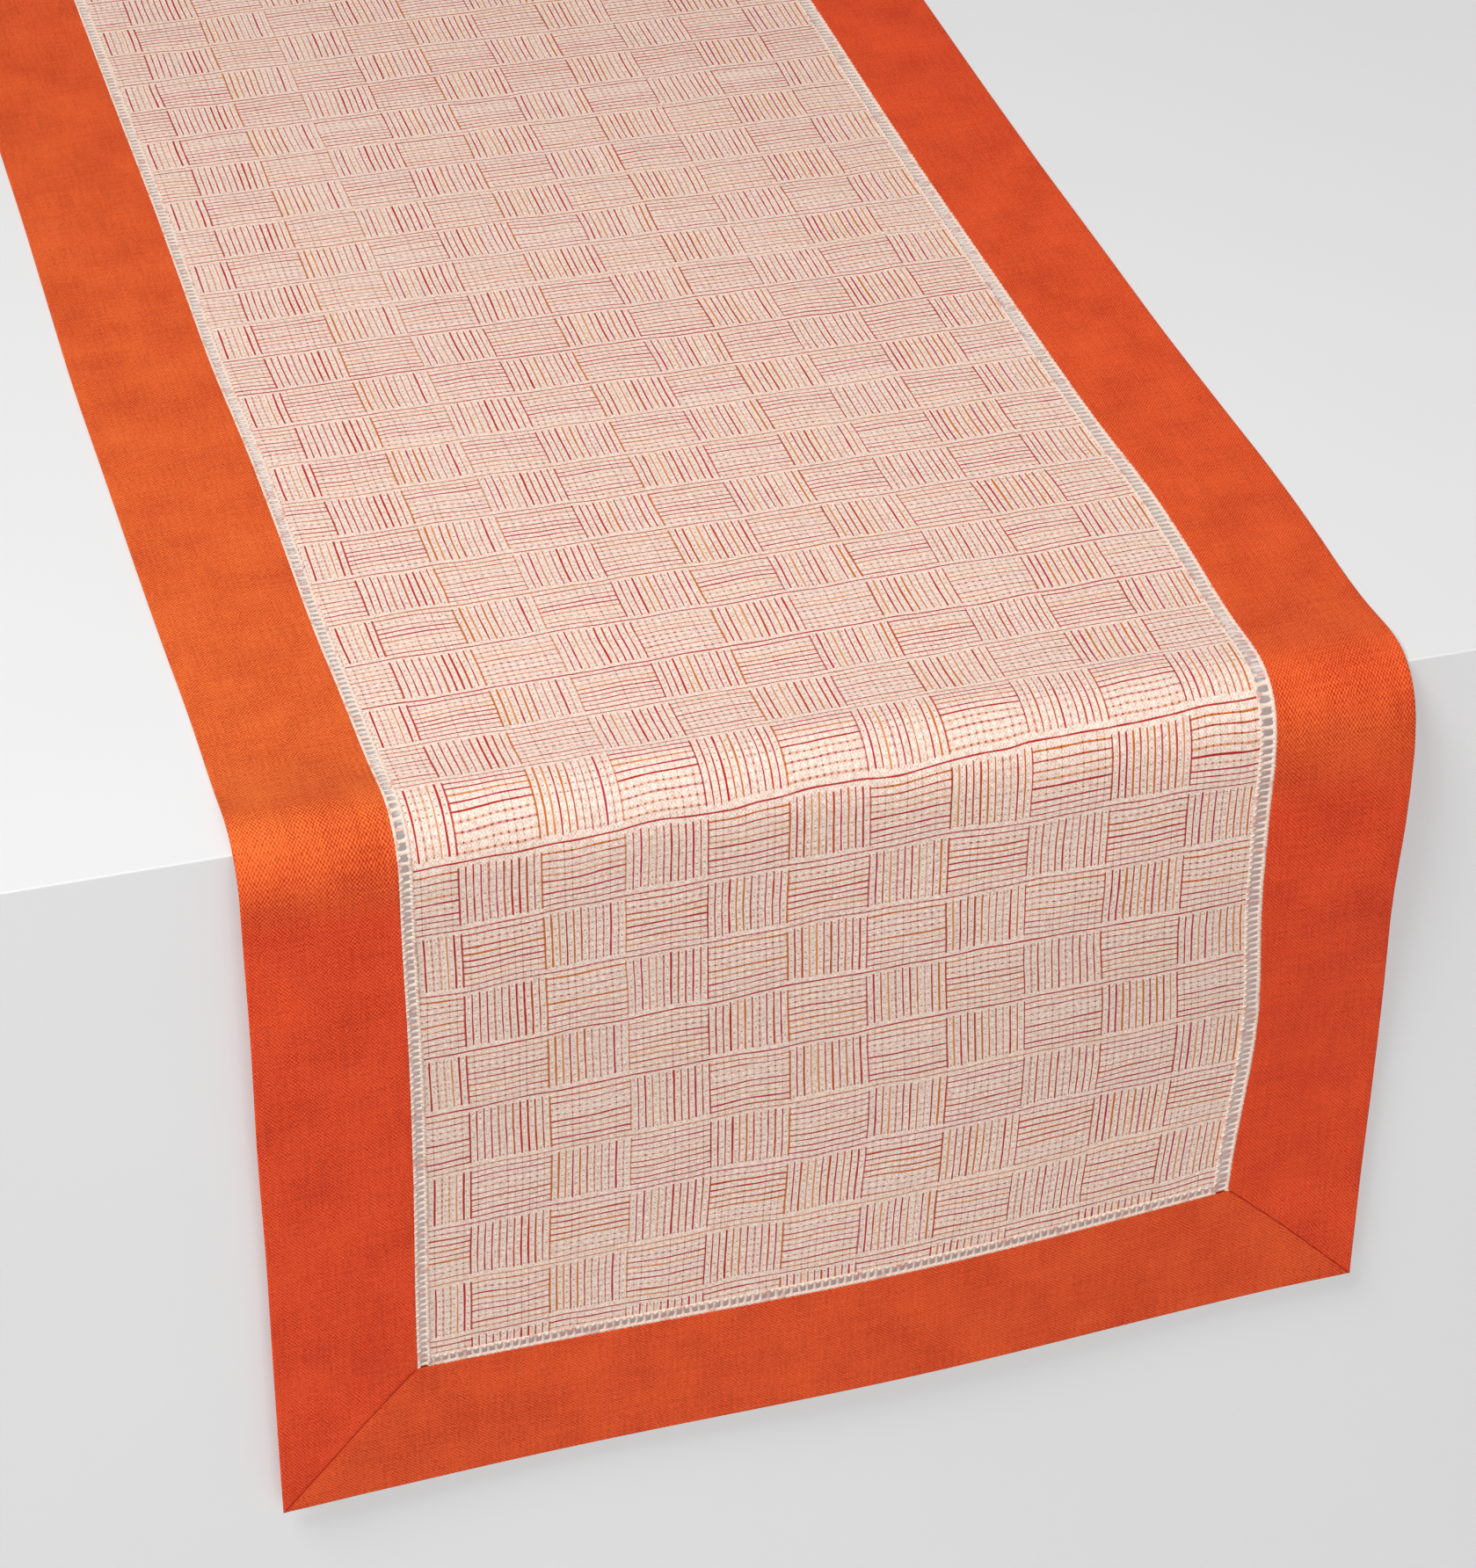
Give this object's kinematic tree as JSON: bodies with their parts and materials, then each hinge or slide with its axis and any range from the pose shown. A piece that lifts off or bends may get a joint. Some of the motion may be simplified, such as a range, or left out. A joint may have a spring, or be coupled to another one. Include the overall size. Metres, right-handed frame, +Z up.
{
  "type": "table runner",
  "caption": "Long rectangular table runner: woven check panel, openwork ladder and a mitred double-cloth border, lying over a table with both ends hanging down.",
  "frame": {"origin": "on the panel's underside, where it lies on the table top, at the middle of the runner's length and width", "axes": "+Z up from the table top, +Y along the runner towards the rear drop, +X across it; the front drop hangs at -Y"},
  "size_m": [0.406, 1.2818, 0.2844],
  "materials": {
    "woven_panel": "dobby-woven cotton, cream ground with red and orange threads floating in blocks",
    "border_cloth": "plain-woven orange linen-cotton, folded double, matt",
    "ladder_thread": "cream openwork ladder, whip-stitched along both edges",
    "seam_thread": "orange mitred seam, a fine raised ridge"
  },
  "bodies": {
    "top_run": {"panel_top": "woven_panel", "border_left_top": "border_cloth", "border_right_top": "border_cloth", "ladder_left_top": "ladder_thread", "ladder_right_top": "ladder_thread"},
    "front_drop": {"panel_front_drop": "woven_panel", "border_left_front": "border_cloth", "border_right_front": "border_cloth", "border_front_end": "border_cloth", "ladder_left_front": "ladder_thread", "ladder_right_front": "ladder_thread", "ladder_front_end": "ladder_thread", "mitre_seam_front_left": "seam_thread", "mitre_seam_front_right": "seam_thread"},
    "rear_drop": {"panel_rear_drop": "woven_panel", "border_left_rear": "border_cloth", "border_right_rear": "border_cloth", "border_rear_end": "border_cloth", "ladder_left_rear": "ladder_thread", "ladder_right_rear": "ladder_thread", "ladder_rear_end": "ladder_thread", "mitre_seam_rear_left": "seam_thread", "mitre_seam_rear_right": "seam_thread"}
  },
  "joints": [
    {"name": "front_drop_lift", "type": "hinge", "parent": "top_run", "child": "front_drop", "pos_m": [0, -0.63591, -0.00331], "axis": [-1, 0, 0], "range_deg": [0, 90]},
    {"name": "rear_drop_lift", "type": "hinge", "parent": "top_run", "child": "rear_drop", "pos_m": [0, 0.63591, -0.00331], "axis": [1, 0, 0], "range_deg": [0, 90]}
  ]
}
